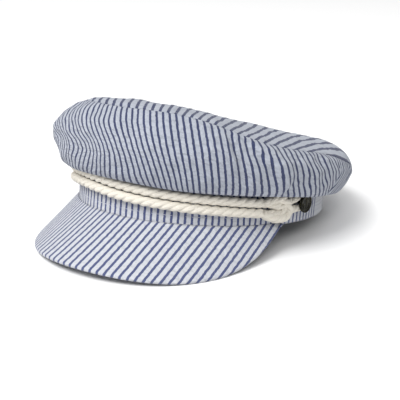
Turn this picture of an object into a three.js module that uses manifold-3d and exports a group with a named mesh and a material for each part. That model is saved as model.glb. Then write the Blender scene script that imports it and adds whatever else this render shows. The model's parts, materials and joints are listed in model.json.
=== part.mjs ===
import * as THREE from 'three';
import { mergeVertices } from 'three/addons/utils/BufferGeometryUtils.js';
import Module from 'manifold-3d';

// A skipper cap of striped seersucker: a band, a stiff peak, a soft crown of three panels that
// hangs over the band, a doubled twisted rope across the front with a knot at each side, and a
// button at each side that holds the rope's loop.
//
// Lengths are millimetres and angles are degrees. +Z is up, the peak points to -Y and +X is the
// wearer's left. The cap rests on the low corners of its peak and on the back of its band, and
// the origin is on the floor under the middle of its box.
//
// The pieces are made in the cap's own frame, where z = 0 is the seam of band and peak and the
// oval of the band is level. An angle runs round that oval, from 0 at the front to +90 at the
// wearer's left. A place on the cap is an angle, a distance out from the band and a height.

// Driving dimensions
const BAND_LENGTH = 202; // outside, front to back
const BAND_WIDTH = 167; // outside, side to side
const BAND_HEIGHT = 30; // above the seam of the peak
const BAND_LAP = 1.2; // below the seam of the peak
const CLOTH = 2; // wall of band and crown: seersucker with its backing
const GAP = 0.3; // clearance between neighbouring pieces
const CROWN_RISE = 73; // ridge seam above the peak's seam, at its highest
const OVERHANG = 22; // crown out from the band, at its widest
const DOME = 11.5; // middle of the top panel above its ridge seam
const SIDE_SEAM = 94; // angle of the seam between front and back panel
const PEAK_REACH = 47.5; // along the slope, at the front
const PEAK_BOARD = 3; // thickness with its cloth
const PEAK_ROOT_CUT = 1.3; // height of its upright root, as a multiple of its thickness
const PEAK_SWEEP = 75.6; // angle of the peak's ends
const PEAK_SLOPE = 39; // below level, at the front
const PEAK_SLOPE_ENDS = 66; // below level, at the ends
const PEAK_END_WIDTH = 2.6; // what is left of the reach at the peak's ends
const PEAK_TURN = 0.7275; // how far the peak's rules turn outwards, as a share of their angle
const PEAK_FALL = 3.45; // power by which the reach falls off towards the ends
const PEAK_FALL_ROUND = 1.14; // power that rounds the fall off
const PEAK_TRIM = 0.985; // share of the sweep that the peak fills
const PEAK_BLUNT = 0.95; // share of the sweep where its blunt ends begin
const ROPE = 6.5; // diameter
const ROPE_LAY = 19; // length of one full twist
const ROPE_VALLEY = 0.84; // radius between the strands, as a share of the rope's
const ROPE_ROOM = 3; // from the rope's outside to the lowest line of the crown
const PUFF_POWER = 6; // the higher it is, the nearer the puff lies to the top panel's seam
const SEAM_ROOM = 0.2; // from a side seam of the crown to each panel
const KNOT_ANGLE = 69.5;
const KNOT_LENGTH = 24;
const KNOT_HEIGHT = 20;
const BUTTON_ANGLE = 84;
const BUTTON_HEIGHT = 13; // its centre above the peak's seam
const BUTTON_DIAMETER = 13;
const BUTTON_THICKNESS = 2.2;
const SHANK_DIAMETER = 2.4;
const LOOP_ROPE = 4.4; // diameter of the rope where it is pulled tight round the shank

const RING_COLUMNS = 72;
const FRONT_COLUMNS = 44;
const BACK_COLUMNS = 30;
const PEAK_COLUMNS = 36;
const ROPE_STEPS_PER_LAY = 8;
const ROPE_SIDES = 6;
const TURN_STEPS = 20;
const STRAND_STEPS = 7;
const LOOP_STEPS = 22;
const BUTTON_SIDES = 20;

// Sections of the crown's side, all round. The lip is its lowest line, the belly its widest and
// the ridge the seam of the top panel. lip is a share of BAND_HEIGHT, lipOut of the rope and its
// room, bellyOut and ridgeOut of OVERHANG, bellyUp of the height from lip to ridge, ridge of
// CROWN_RISE, full says how straight the cloth goes from lip to belly, and puff is how much the
// top panel stands up just inside its seam, as a share of DOME.
const SECTIONS = [
  { angle: -180, lip: 0.42, lipOut: 1.0, bellyOut: 0.9, bellyUp: 0.7, ridgeOut: 0.6, ridge: 0.42, full: 0.5, puff: 0.1 },
  { angle: -150, lip: 0.43, lipOut: 1.0, bellyOut: 0.94, bellyUp: 0.7, ridgeOut: 0.62, ridge: 0.45, full: 0.5, puff: 0 },
  { angle: -120, lip: 0.48, lipOut: 1.1, bellyOut: 1.0, bellyUp: 0.68, ridgeOut: 0.64, ridge: 0.52, full: 0.5, puff: 0 },
  { angle: -90, lip: 0.59, lipOut: 1.2, bellyOut: 1.0, bellyUp: 0.62, ridgeOut: 0.56, ridge: 0.63, full: 0.5, puff: 0 },
  { angle: -60, lip: 0.7, lipOut: 1.1, bellyOut: 0.98, bellyUp: 0.57, ridgeOut: 0.3, ridge: 0.69, full: 0.6, puff: 0 },
  { angle: -30, lip: 0.77, lipOut: 1.0, bellyOut: 1.0, bellyUp: 0.56, ridgeOut: 0.2, ridge: 0.94, full: 0.6, puff: 0.05 },
  { angle: 0, lip: 0.83, lipOut: 1.0, bellyOut: 0.96, bellyUp: 0.5, ridgeOut: 0.4, ridge: 0.98, full: 0.45, puff: 0.22 },
  { angle: 30, lip: 0.76, lipOut: 1.0, bellyOut: 0.98, bellyUp: 0.53, ridgeOut: 0.5, ridge: 0.96, full: 0.5, puff: 0.08 },
  { angle: 60, lip: 0.71, lipOut: 1.1, bellyOut: 0.98, bellyUp: 0.57, ridgeOut: 0.62, ridge: 0.76, full: 0.5, puff: 0 },
  { angle: 90, lip: 0.59, lipOut: 1.2, bellyOut: 0.92, bellyUp: 0.62, ridgeOut: 0.61, ridge: 0.64, full: 0.4, puff: 0.12 },
  { angle: 120, lip: 0.49, lipOut: 1.1, bellyOut: 0.83, bellyUp: 0.65, ridgeOut: 0.82, ridge: 0.46, full: 0.45, puff: 0.6 },
  { angle: 150, lip: 0.44, lipOut: 1.0, bellyOut: 0.86, bellyUp: 0.68, ridgeOut: 0.74, ridge: 0.45, full: 0.5, puff: 0.25 },
  { angle: 180, lip: 0.42, lipOut: 1.0, bellyOut: 0.9, bellyUp: 0.7, ridgeOut: 0.6, ridge: 0.42, full: 0.5, puff: 0.1 },
];

// Folds and dents in the crown's side, each along a line from one place to another. A place is
// an angle and a share of the way from the band's top round the lip to the ridge. width and depth
// are shares of OVERHANG, and a depth below zero is a dent.
const FOLDS = [
  { angle: -62, along: 0.54, toAngle: 16, toAlong: 0.78, width: 0.28, depth: -0.1 },
  { angle: 42, along: 0.97, toAngle: 51, toAlong: 0.58, width: 0.22, depth: -0.09 },
  { angle: 47, along: 0.95, toAngle: 62, toAlong: 0.62, width: 0.24, depth: -0.1 },
  { angle: 54, along: 0.95, toAngle: 69, toAlong: 0.62, width: 0.22, depth: 0.08 },
  { angle: 66, along: 0.58, toAngle: 78, toAlong: 0.6, width: 0.22, depth: -0.1 },
  { angle: 79, along: 0.92, toAngle: 86, toAlong: 0.62, width: 0.26, depth: -0.08 },
  { angle: 104, along: 0.94, toAngle: 116, toAlong: 0.6, width: 0.32, depth: -0.08 },
  { angle: 150, along: 0.66, toAngle: 196, toAlong: 0.7, width: 0.3, depth: -0.08 },
  { angle: -118, along: 0.92, toAngle: -106, toAlong: 0.58, width: 0.32, depth: -0.09 },
  { angle: -72, along: 0.95, toAngle: -62, toAlong: 0.6, width: 0.28, depth: -0.08 },
];

// Height of the line where the two rope runs touch, as a share of BAND_HEIGHT
const ROPE_LINE = [
  { angle: -66, height: 0.385 },
  { angle: -48, height: 0.52 },
  { angle: -30, height: 0.62 },
  { angle: -14, height: 0.63 },
  { angle: 0, height: 0.585 },
  { angle: 28, height: 0.5 },
  { angle: 47, height: 0.45 },
  { angle: 66, height: 0.385 },
];

// Rows of the crown's side from the band's top to the ridge, as shares of the way. They stand
// closer where the cloth turns round the lip.
const SIDE_ROWS = [0, 0.14, 0.28, 0.37, 0.43, 0.49, 0.56, 0.64, 0.72, 0.8, 0.87, 0.94, 1];

// Rings of the top panel, from its middle to its seam
const TOP_RINGS = [0, 0.3, 0.56, 0.76, 0.88, 0.95, 1];

const { degToRad, lerp, clamp } = THREE.MathUtils;
const HALF_LENGTH = BAND_LENGTH / 2;
const HALF_WIDTH = BAND_WIDTH / 2;
const BAND_TOP = BAND_HEIGHT + GAP;
const LIP_OUT = ROPE + ROPE_ROOM;

// A smooth value between the rows of a table. A ring's last row is its first row again.
function column(table, name, angle, ring = false) {
  const span = table[table.length - 1].angle - table[0].angle;
  const a = ring ? table[0].angle + THREE.MathUtils.euclideanModulo(angle - table[0].angle, span)
    : clamp(angle, table[0].angle, table[table.length - 1].angle);
  let k = 0;
  while (k < table.length - 2 && table[k + 1].angle <= a) k += 1;
  const slope = (i) => {
    const before = table[i - 1] ?? (ring ? table[table.length - 2] : table[i]);
    const after = table[i + 1] ?? (ring ? table[1] : table[i]);
    const run = (after.angle - before.angle + (ring ? span : 0)) % (ring ? span : Infinity);
    return (after[name] - before[name]) / run;
  };
  const step = table[k + 1].angle - table[k].angle;
  const t = (a - table[k].angle) / step;
  const h00 = 2 * t ** 3 - 3 * t ** 2 + 1;
  const h10 = t ** 3 - 2 * t ** 2 + t;
  const h11 = t ** 3 - t ** 2;
  return h00 * table[k][name] + h10 * step * slope(k)
    + (1 - h00) * table[k + 1][name] + h11 * step * slope(k + 1);
}

// The band's outward direction at an angle, and a place on the cap as a point
function outward(angle) {
  const a = degToRad(angle);
  return new THREE.Vector3(Math.sin(a) / HALF_WIDTH, -Math.cos(a) / HALF_LENGTH, 0).normalize();
}

function place(angle, out, height) {
  const a = degToRad(angle);
  const onBand = new THREE.Vector3(HALF_WIDTH * Math.sin(a), -HALF_LENGTH * Math.cos(a), height);
  return onBand.addScaledVector(outward(angle), out);
}

// The section of the crown's side at an angle: a curve of distance out and height
function section(angle) {
  const at = (name) => column(SECTIONS, name, angle, true);
  const lip = new THREE.Vector2(LIP_OUT * at('lipOut'), BAND_HEIGHT * at('lip'));
  const ridge = new THREE.Vector2(OVERHANG * at('ridgeOut'), CROWN_RISE * at('ridge'));
  const belly = new THREE.Vector2(OVERHANG * at('bellyOut'), lerp(lip.y, ridge.y, at('bellyUp')));
  const full = at('full');
  return new THREE.SplineCurve([
    new THREE.Vector2(-CLOTH, BAND_TOP),
    new THREE.Vector2(CLOTH * 0.4, BAND_TOP),
    new THREE.Vector2(lip.x / 2, (BAND_TOP + lip.y) / 2),
    lip,
    new THREE.Vector2(lerp(lip.x, belly.x, 0.45 + 0.25 * full), lerp(lip.y, belly.y, 0.42 - 0.22 * full)),
    belly,
    new THREE.Vector2(lerp(ridge.x, belly.x, 0.62), lerp(belly.y, ridge.y, 0.62)),
    ridge,
  ]);
}

// How far the folds move the cloth at a place. A fold fades out towards both of its ends.
function foldDepth(angle, along) {
  const length = section(angle).getLength();
  const perDegree = degToRad((HALF_WIDTH + HALF_LENGTH) / 2 + OVERHANG);
  let depth = 0;
  for (const fold of FOLDS) {
    const turned = fold.toAngle > 180 && angle < 0 ? angle + 360 : angle;
    const run = new THREE.Vector2((fold.toAngle - fold.angle) * perDegree, (fold.toAlong - fold.along) * length);
    const here = new THREE.Vector2((turned - fold.angle) * perDegree, (along - fold.along) * length);
    const t = clamp(here.dot(run) / run.lengthSq(), 0, 1);
    const distance = here.distanceTo(run.clone().multiplyScalar(t));
    const fade = 1 - (2 * t - 1) ** 4;
    depth += OVERHANG * fold.depth * fade * Math.exp(-((distance / (OVERHANG * fold.width)) ** 2));
  }
  return depth;
}

function smoothSide(angle, along) {
  const p = section(angle).getPoint(clamp(along, 0, 1));
  return place(angle, p.x, p.y);
}

// The seam of the top panel, and the panel itself: level rings that rise to the dome
function ridgeSeam(angle) {
  return smoothSide(angle, 1);
}

const RING = Array.from({ length: RING_COLUMNS }, (_, i) => (i * 360) / RING_COLUMNS);
const ridgeRing = RING.map(ridgeSeam);
const ringMean = (value) => RING.reduce((sum, angle, i) => sum + value(ridgeRing[i], degToRad(angle)), 0) / RING_COLUMNS;
const ridgeBox = new THREE.Box3().setFromPoints(ridgeRing);
const ridgeCentre = ridgeBox.getCenter(new THREE.Vector3());
ridgeCentre.z = ringMean((p) => p.z);
const leanBack = 2 * ringMean((p, a) => p.z * Math.cos(a));
const leanSide = 2 * ringMean((p, a) => p.z * Math.sin(a));
const puffAt = (share) => share ** PUFF_POWER * (1 - share);
const puffMost = puffAt(PUFF_POWER / (PUFF_POWER + 1));

function topSurface(angle, share) {
  const seam = ridgeSeam(angle);
  const lean = leanBack * Math.cos(degToRad(angle)) + leanSide * Math.sin(degToRad(angle));
  const waviness = seam.z - ridgeCentre.z - lean;
  const puff = (column(SECTIONS, 'puff', angle, true) * puffAt(share)) / puffMost;
  const z = ridgeCentre.z + lean * share + waviness * share ** 2 + DOME * (1 - share ** 3 + puff);
  return new THREE.Vector3(lerp(ridgeCentre.x, seam.x, share), lerp(ridgeCentre.y, seam.y, share), z);
}

// Unit normal of a surface of angle and share, from small steps each way
function normalOf(surface, angle, share) {
  const [turn, step] = [0.5, 0.01];
  const round = surface(angle + turn, share).sub(surface(angle - turn, share));
  const along = surface(angle, Math.min(share + step, 1)).sub(surface(angle, Math.max(share - step, 0)));
  return round.cross(along).normalize();
}

function topNormal(angle, share) {
  const normal = normalOf(topSurface, angle, share);
  return normal.z < 0 ? normal.negate() : normal;
}

// At the ridge both walls end on one mitre plane, half a gap to each side of it
function ridgeMitre(angle) {
  const sum = normalOf(smoothSide, angle, 1).add(topNormal(angle, 1));
  const inwards = sum.multiplyScalar((-2 * CLOTH) / sum.lengthSq());
  const along = ridgeSeam(angle + 1).sub(ridgeSeam(angle - 1));
  const towardsTop = along.cross(inwards).normalize();
  return { inwards, towardsTop };
}

// Outer and inner point of the crown's side wall
function sideWall(angle, along) {
  const smooth = smoothSide(angle, along);
  if (along === 1) {
    const { inwards, towardsTop } = ridgeMitre(angle);
    const outer = smooth.addScaledVector(towardsTop, -GAP / 2);
    return [outer, outer.clone().add(inwards)];
  }
  const normal = normalOf(smoothSide, angle, along);
  const outer = smooth.addScaledVector(normal, foldDepth(angle, along));
  return [outer, outer.clone().addScaledVector(normal, -CLOTH)];
}

function topWall(angle, share) {
  const outer = topSurface(angle, share);
  if (share === 1) {
    const { inwards, towardsTop } = ridgeMitre(angle);
    outer.addScaledVector(towardsTop, GAP / 2);
    return [outer, outer.clone().add(inwards)];
  }
  if (share === 0) return [outer, outer.clone().add(new THREE.Vector3(0, 0, -CLOTH))];
  return [outer, outer.clone().addScaledVector(topNormal(angle, share), -CLOTH)];
}

// A solid from triangles of points: shared corners are merged, a triangle that has shrunk to a
// line is dropped, and the solid is turned right side out
function solidFrom(triangles) {
  const merged = mergeVertices(new THREE.BufferGeometry().setFromPoints(triangles.flat()), 1e-3);
  const corner = (i) => new THREE.Vector3().fromBufferAttribute(merged.attributes.position, i);
  const kept = [];
  let volume = 0;
  for (let i = 0; i < merged.index.count; i += 3) {
    const [a, b, c] = merged.index.array.slice(i, i + 3);
    if (a !== b && b !== c && c !== a) {
      kept.push([a, b, c]);
      volume += corner(a).dot(corner(b).cross(corner(c)));
    }
  }
  merged.setIndex(kept.map(([a, b, c]) => (volume < 0 ? [a, c, b] : [a, b, c])).flat());
  return merged;
}

// Two triangles on four corners, split along the shorter diagonal
function quad(a, b, c, d) {
  return a.distanceTo(c) <= b.distanceTo(d) ? [[a, b, c], [a, c, d]] : [[a, b, d], [b, c, d]];
}

// A wall between an outer and an inner grid of points, closed along its open edges. A ring
// joins its last column to its first.
function wallSolid(columns, ring) {
  const triangles = [];
  const count = columns.length;
  const last = columns[0].length - 1;
  for (let i = 0; i < (ring ? count : count - 1); i += 1) {
    const here = columns[i];
    const next = columns[(i + 1) % count];
    for (let j = 0; j < last; j += 1) {
      triangles.push(...quad(here[j][0], next[j][0], next[j + 1][0], here[j + 1][0]));
      triangles.push(...quad(here[j][1], here[j + 1][1], next[j + 1][1], next[j][1]));
    }
    triangles.push(...quad(here[0][1], next[0][1], next[0][0], here[0][0]));
    triangles.push(...quad(here[last][0], next[last][0], next[last][1], here[last][1]));
  }
  if (!ring) {
    for (let j = 0; j < last; j += 1) {
      const first = columns[0];
      const end = columns[count - 1];
      triangles.push(...quad(first[j][1], first[j][0], first[j + 1][0], first[j + 1][1]));
      triangles.push(...quad(end[j][0], end[j][1], end[j + 1][1], end[j + 1][0]));
    }
  }
  return solidFrom(triangles);
}

// A bar through rings of points, closed at both ends
function barSolid(rings) {
  const triangles = [];
  const sides = rings[0].length;
  for (let i = 0; i < rings.length - 1; i += 1) {
    for (let k = 0; k < sides; k += 1) {
      const m = (k + 1) % sides;
      triangles.push(...quad(rings[i][k], rings[i][m], rings[i + 1][m], rings[i + 1][k]));
    }
  }
  for (let k = 1; k < sides - 1; k += 1) {
    const end = rings[rings.length - 1];
    triangles.push([rings[0][0], rings[0][k + 1], rings[0][k]]);
    triangles.push([end[0], end[k], end[k + 1]]);
  }
  return solidFrom(triangles);
}

// Band: an upright oval ring
function bandGeometry() {
  const ovalAt = (out) => RING.map((angle) => {
    const p = place(angle, out, 0);
    return new THREE.Vector2(p.x, p.y);
  });
  const shape = new THREE.Shape(ovalAt(0));
  shape.holes.push(new THREE.Path(ovalAt(-CLOTH)));
  const depth = BAND_HEIGHT + BAND_LAP;
  const ring = new THREE.ExtrudeGeometry(shape, { depth, bevelEnabled: false });
  return ring.translate(0, 0, -BAND_LAP);
}

// A side panel of the crown, from one side seam to the other. Its rows follow the section from
// the band's top to the ridge.
function sidePanel(from, to, columnCount) {
  const trim = THREE.MathUtils.radToDeg(SEAM_ROOM / (HALF_WIDTH + OVERHANG));
  const columns = Array.from({ length: columnCount + 1 }, (_, i) => {
    const angle = lerp(from + trim, to - trim, i / columnCount);
    return SIDE_ROWS.map((along) => sideWall(angle, along));
  });
  return wallSolid(columns, false);
}

function topPanel() {
  return wallSolid(RING.map((angle) => TOP_RINGS.map((share) => topWall(angle, share))), true);
}

// The peak is a board on straight rules from the band to its edge. Its reach falls off towards
// the ends, its rules turn outwards less than the band does, and it slopes more at the ends.
function peakRule(t) {
  const angle = t * PEAK_SWEEP;
  const heading = degToRad(PEAK_TURN * angle);
  const slope = degToRad(lerp(PEAK_SLOPE, PEAK_SLOPE_ENDS, t * t));
  const reach = PEAK_REACH * (1 - Math.abs(t) ** PEAK_FALL) ** PEAK_FALL_ROUND;
  const along = new THREE.Vector3(
    Math.sin(heading) * Math.cos(slope),
    -Math.cos(heading) * Math.cos(slope),
    -Math.sin(slope),
  );
  return { angle, along, length: Math.max(reach, PEAK_END_WIDTH) - PEAK_BOARD / 2 };
}

// The peak's section at a share of its sweep: top face, round edge, underside and root
function peakColumn(t) {
  const { angle, along, length } = peakRule(t);
  const tip = (share) => {
    const rule = peakRule(share);
    return place(rule.angle, GAP, 0).addScaledVector(rule.along, rule.length);
  };
  const blunt = Math.abs(t) > PEAK_BLUNT;
  const across = blunt ? place(angle + 1, GAP, 0).sub(place(angle - 1, GAP, 0)) : tip(t + 0.01).sub(tip(t - 0.01));
  const up = across.cross(along).normalize();
  if (up.z < 0) up.negate();
  const radius = PEAK_BOARD / 2;
  const root = place(angle, GAP, 0);
  const edge = root.clone().addScaledVector(along, length);
  const top = edge.clone().addScaledVector(up, radius);
  const under = edge.clone().addScaledVector(up, -radius);
  const rootUnder = root.clone().add(new THREE.Vector3(0, 0, -PEAK_BOARD * PEAK_ROOT_CUT));
  const round = [60, 120].map(degToRad).map((turn) => edge.clone()
    .addScaledVector(up, radius * Math.cos(turn))
    .addScaledVector(along, radius * Math.sin(turn)));
  return [
    ...[0, 0.25, 0.5, 0.75, 1].map((share) => root.clone().lerp(top, share)),
    ...round,
    ...[1, 0.66, 0.33, 0].map((share) => rootUnder.clone().lerp(under, share)),
  ];
}

function peakGeometry() {
  const rings = Array.from({ length: PEAK_COLUMNS + 1 }, (_, i) => {
    const t = Math.sin(((i / PEAK_COLUMNS) * 2 - 1) * (Math.PI / 2));
    return peakColumn(PEAK_TRIM * t);
  });
  return barSolid(rings);
}

// Twisted rope of three strands along a route. Each stop of the route gives the centre, the
// direction out from the band and the rope's radius there.
function ropeGeometry(stops, lay) {
  let run = 0;
  const rings = stops.map((stop, i) => {
    const before = stops[Math.max(i - 1, 0)].centre;
    const after = stops[Math.min(i + 1, stops.length - 1)].centre;
    if (i > 0) run += stop.centre.distanceTo(before);
    const forward = after.clone().sub(before).normalize();
    const side = stop.out.clone().cross(forward).normalize();
    const out = forward.clone().cross(side);
    return Array.from({ length: ROPE_SIDES }, (_, k) => {
      const a = 2 * Math.PI * (k / ROPE_SIDES + run / lay);
      const radius = stop.radius * (k % 2 ? ROPE_VALLEY : 1);
      return stop.centre.clone()
        .addScaledVector(side, radius * Math.sin(a))
        .addScaledVector(out, radius * Math.cos(a));
    });
  });
  return barSolid(rings);
}

// A run of the rope across the front, above or below the line where the runs touch
function ropeRun(level) {
  const end = knotAngle(-KNOT_LENGTH / 2 - 3 * GAP);
  const length = degToRad(2 * end) * ((HALF_LENGTH + HALF_WIDTH) / 2);
  const steps = Math.round((length / ROPE_LAY) * ROPE_STEPS_PER_LAY);
  const stops = Array.from({ length: steps + 1 }, (_, i) => {
    const angle = lerp(-end, end, i / steps);
    const line = BAND_HEIGHT * column(ROPE_LINE, 'height', angle);
    const centre = place(angle, ROPE / 2 + GAP, line + level * (ROPE + GAP) / 2);
    return { centre, out: outward(angle), radius: ROPE / 2 };
  });
  return ropeGeometry(stops, ROPE_LAY);
}

// Angle on the band that lies some way round from the middle of the knot
function knotAngle(way) {
  const a = degToRad(KNOT_ANGLE);
  const perDegree = degToRad(Math.hypot(HALF_WIDTH * Math.cos(a), HALF_LENGTH * Math.sin(a)));
  return KNOT_ANGLE + way / perDegree;
}

const knotMiddle = BAND_HEIGHT * column(ROPE_LINE, 'height', KNOT_ANGLE);
const shankWay = (BUTTON_ANGLE - KNOT_ANGLE) / (knotAngle(1) - KNOT_ANGLE);

// The knot: one turn of rope over both runs, open towards the front, a strand inside it, and a
// loop that goes round the button's shank. Ways are along the band from the knot's middle, and
// the rope thins where it dives under another or is pulled tight.
function knotGeometry(wasm, side) {
  const halfLength = (KNOT_LENGTH - ROPE) / 2;
  const halfHeight = (KNOT_HEIGHT - ROPE) / 2;
  const start = -KNOT_LENGTH / 2;
  const loopRadius = SHANK_DIAMETER / 2 + GAP + LOOP_ROPE / 2;
  const turn = [
    { way: start, height: knotMiddle + 0.5 * (ROPE + GAP), radius: ROPE / 2 },
    { way: -halfLength, height: knotMiddle + 0.5 * (ROPE + GAP), radius: ROPE / 2 },
    { way: -0.4 * halfLength, height: knotMiddle + 0.9 * halfHeight, radius: ROPE / 2 },
    { way: 0, height: knotMiddle + halfHeight, radius: ROPE / 2 },
    { way: 0.7 * halfLength, height: knotMiddle + 0.7 * halfHeight, radius: ROPE / 2 },
    { way: halfLength, height: knotMiddle, radius: ROPE / 2 },
    { way: 0.7 * halfLength, height: knotMiddle - 0.75 * halfHeight, radius: ROPE / 2 },
    { way: 0, height: knotMiddle - halfHeight, radius: ROPE / 2 },
    { way: -0.6 * halfLength, height: knotMiddle - 0.85 * halfHeight, radius: ROPE / 2 },
  ];
  const strand = [
    { way: start, height: knotMiddle - 0.5 * (ROPE + GAP), radius: ROPE / 2 },
    { way: -halfLength, height: knotMiddle - 0.5 * (ROPE + GAP), radius: ROPE / 2 },
    { way: -0.4 * halfLength, height: knotMiddle - 0.4 * ROPE, radius: ROPE / 2 },
    { way: 0.3 * halfLength, height: knotMiddle, radius: ROPE * 0.42 },
    { way: 0.5 * halfLength, height: knotMiddle + 0.4 * ROPE, radius: ROPE * 0.35 },
  ];
  const loop = [
    { way: halfLength * 0.7, height: knotMiddle + 0.6 * halfHeight, radius: ROPE / 2 },
    { way: lerp(halfLength, shankWay, 0.55), height: BUTTON_HEIGHT + 0.95 * loopRadius, radius: ROPE * 0.4 },
    { way: shankWay, height: BUTTON_HEIGHT + loopRadius, radius: LOOP_ROPE / 2 },
    { way: shankWay + loopRadius, height: BUTTON_HEIGHT, radius: LOOP_ROPE / 2 },
    { way: shankWay, height: BUTTON_HEIGHT - loopRadius, radius: LOOP_ROPE / 2 },
    { way: lerp(halfLength, shankWay, 0.55), height: BUTTON_HEIGHT - 0.95 * loopRadius, radius: ROPE * 0.4 },
    { way: halfLength * 0.7, height: knotMiddle - 0.5 * halfHeight, radius: ROPE / 2 },
  ];
  const piece = (stops, steps) => {
    const route = new THREE.CatmullRomCurve3(stops.map((s) => new THREE.Vector3(s.way, s.height, s.radius)));
    const even = route.getSpacedPoints(steps).map((p) => {
      const angle = side * knotAngle(p.x);
      return { centre: place(angle, p.z + GAP, p.y), out: outward(angle), radius: p.z };
    });
    return toSolid(wasm, ropeGeometry(even, side * ROPE_LAY));
  };
  // Rope laid on rope traps small pockets, which are filled by keeping the outer skin alone
  const joined = piece(turn, TURN_STEPS).add(piece(strand, STRAND_STEPS)).add(piece(loop, LOOP_STEPS));
  const skins = joined.decompose().sort((a, b) => b.volume() - a.volume());
  return fromSolid(skins[0]);
}

// Side button: a shank, a plate with a raised rim, and a plain anchor in relief
function buttonGeometry(wasm) {
  const radius = BUTTON_DIAMETER / 2;
  const back = LOOP_ROPE + 2 * GAP;
  const front = back + BUTTON_THICKNESS;
  const rim = radius * 0.16;
  const outline = [
    [0, 0], [SHANK_DIAMETER / 2, 0], [SHANK_DIAMETER / 2, back], [radius * 0.86, back],
    [radius, back + 0.3 * BUTTON_THICKNESS], [radius, front - 0.25 * BUTTON_THICKNESS],
    [radius - 0.5 * rim, front], [radius - rim, front - 0.2 * BUTTON_THICKNESS], [0, front - 0.1 * BUTTON_THICKNESS],
  ].map(([r, y]) => new THREE.Vector2(r, y));
  const plate = toSolid(wasm, new THREE.LatheGeometry(outline, BUTTON_SIDES));
  const relief = anchorGeometry(radius * 0.62);
  relief.rotateX(-Math.PI / 2).translate(0, front - 0.35 * BUTTON_THICKNESS, 0);
  return fromSolid(plate.add(toSolid(wasm, relief)));
}

// An anchor of a given half height, drawn upright: stem with stock, and curved arms
function anchorGeometry(size) {
  const stem = size * 0.13;
  const shape = new THREE.Shape();
  shape.moveTo(-stem, size);
  shape.lineTo(-stem, size * 0.6);
  shape.lineTo(-size * 0.5, size * 0.6);
  shape.lineTo(-size * 0.5, size * 0.36);
  shape.lineTo(-stem, size * 0.36);
  shape.lineTo(-stem, -size * 0.6);
  shape.quadraticCurveTo(-size * 0.62, -size * 0.5, -size * 0.62, 0);
  shape.lineTo(-size * 0.88, 0);
  shape.quadraticCurveTo(-size * 0.85, -size * 0.85, 0, -size);
  shape.quadraticCurveTo(size * 0.85, -size * 0.85, size * 0.88, 0);
  shape.lineTo(size * 0.62, 0);
  shape.quadraticCurveTo(size * 0.62, -size * 0.5, stem, -size * 0.6);
  shape.lineTo(stem, size * 0.36);
  shape.lineTo(size * 0.5, size * 0.36);
  shape.lineTo(size * 0.5, size * 0.6);
  shape.lineTo(stem, size * 0.6);
  shape.lineTo(stem, size);
  return new THREE.ExtrudeGeometry(shape, { depth: BUTTON_THICKNESS * 0.4, bevelEnabled: false, curveSegments: 3 });
}

// To and from the solids that can be joined
function toSolid(wasm, geometry) {
  const bare = geometry.clone();
  bare.deleteAttribute('normal');
  bare.deleteAttribute('uv');
  const merged = mergeVertices(bare, 1e-3);
  const vertProperties = Float32Array.from(merged.attributes.position.array);
  const triVerts = Uint32Array.from(merged.index.array);
  return new wasm.Manifold(new wasm.Mesh({ numProp: 3, vertProperties, triVerts }));
}

function fromSolid(solid) {
  const mesh = solid.getMesh();
  const geometry = new THREE.BufferGeometry();
  geometry.setAttribute('position', new THREE.BufferAttribute(Float32Array.from(mesh.vertProperties), 3));
  geometry.setIndex(new THREE.BufferAttribute(Uint32Array.from(mesh.triVerts), 1));
  return geometry;
}

const wasm = await Module();
wasm.setup();

// Materials, one for each piece
const seersucker = () => new THREE.MeshStandardMaterial({ color: 0xb9c0d6, roughness: 0.9, metalness: 0 });
const cotton = () => new THREE.MeshStandardMaterial({ color: 0xe2dace, roughness: 0.95, metalness: 0 });
const brass = () => new THREE.MeshStandardMaterial({ color: 0x3d3a2a, roughness: 0.45, metalness: 0.8 });

function named(name, geometry, material) {
  const mesh = new THREE.Mesh(geometry, material);
  mesh.name = name;
  return mesh;
}

// A button stands on the band's side with its anchor upright
function button(name, side) {
  const mesh = named(name, buttonGeometry(wasm), brass());
  const out = outward(side * BUTTON_ANGLE);
  const up = new THREE.Vector3(0, 0, 1);
  const basis = new THREE.Matrix4().makeBasis(up.clone().cross(out), out, up.clone().negate());
  mesh.quaternion.setFromRotationMatrix(basis);
  mesh.position.copy(place(side * BUTTON_ANGLE, GAP, BUTTON_HEIGHT));
  return mesh;
}

const band = named('band', bandGeometry(), seersucker());
const peak = named('peak', peakGeometry(), seersucker());
const cap = new THREE.Group();
cap.add(
  band,
  peak,
  named('crown_front', sidePanel(-SIDE_SEAM, SIDE_SEAM, FRONT_COLUMNS), seersucker()),
  named('crown_back', sidePanel(SIDE_SEAM, 360 - SIDE_SEAM, BACK_COLUMNS), seersucker()),
  named('crown_top', topPanel(), seersucker()),
  named('rope_upper', ropeRun(1), cotton()),
  named('rope_lower', ropeRun(-1), cotton()),
  named('knot_left', knotGeometry(wasm, 1), cotton()),
  named('knot_right', knotGeometry(wasm, -1), cotton()),
  button('button_left', 1),
  button('button_right', -1),
);

// Lowest point of a mesh when the cap is tipped back by an angle in radians
function lowest(mesh, tip) {
  const points = mesh.geometry.attributes.position;
  let low = Infinity;
  for (let i = 0; i < points.count; i += 1) {
    low = Math.min(low, points.getZ(i) * Math.cos(tip) - points.getY(i) * Math.sin(tip));
  }
  return low;
}

// The cap tips back until peak and band are equally low
let least = 0;
let most = Math.PI / 6;
for (let halving = 0; halving < 40; halving += 1) {
  const tip = (least + most) / 2;
  if (lowest(peak, tip) < lowest(band, tip)) least = tip;
  else most = tip;
}
cap.rotation.x = -least;

const group = new THREE.Group();
group.add(cap);
group.updateMatrixWorld(true);
const box = new THREE.Box3().setFromObject(group, true);
const middle = box.getCenter(new THREE.Vector3());
cap.position.set(-middle.x, -middle.y, -box.min.z);

export default group;
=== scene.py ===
import json
import math

import bpy
import numpy as np
from mathutils import Matrix, Vector


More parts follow.
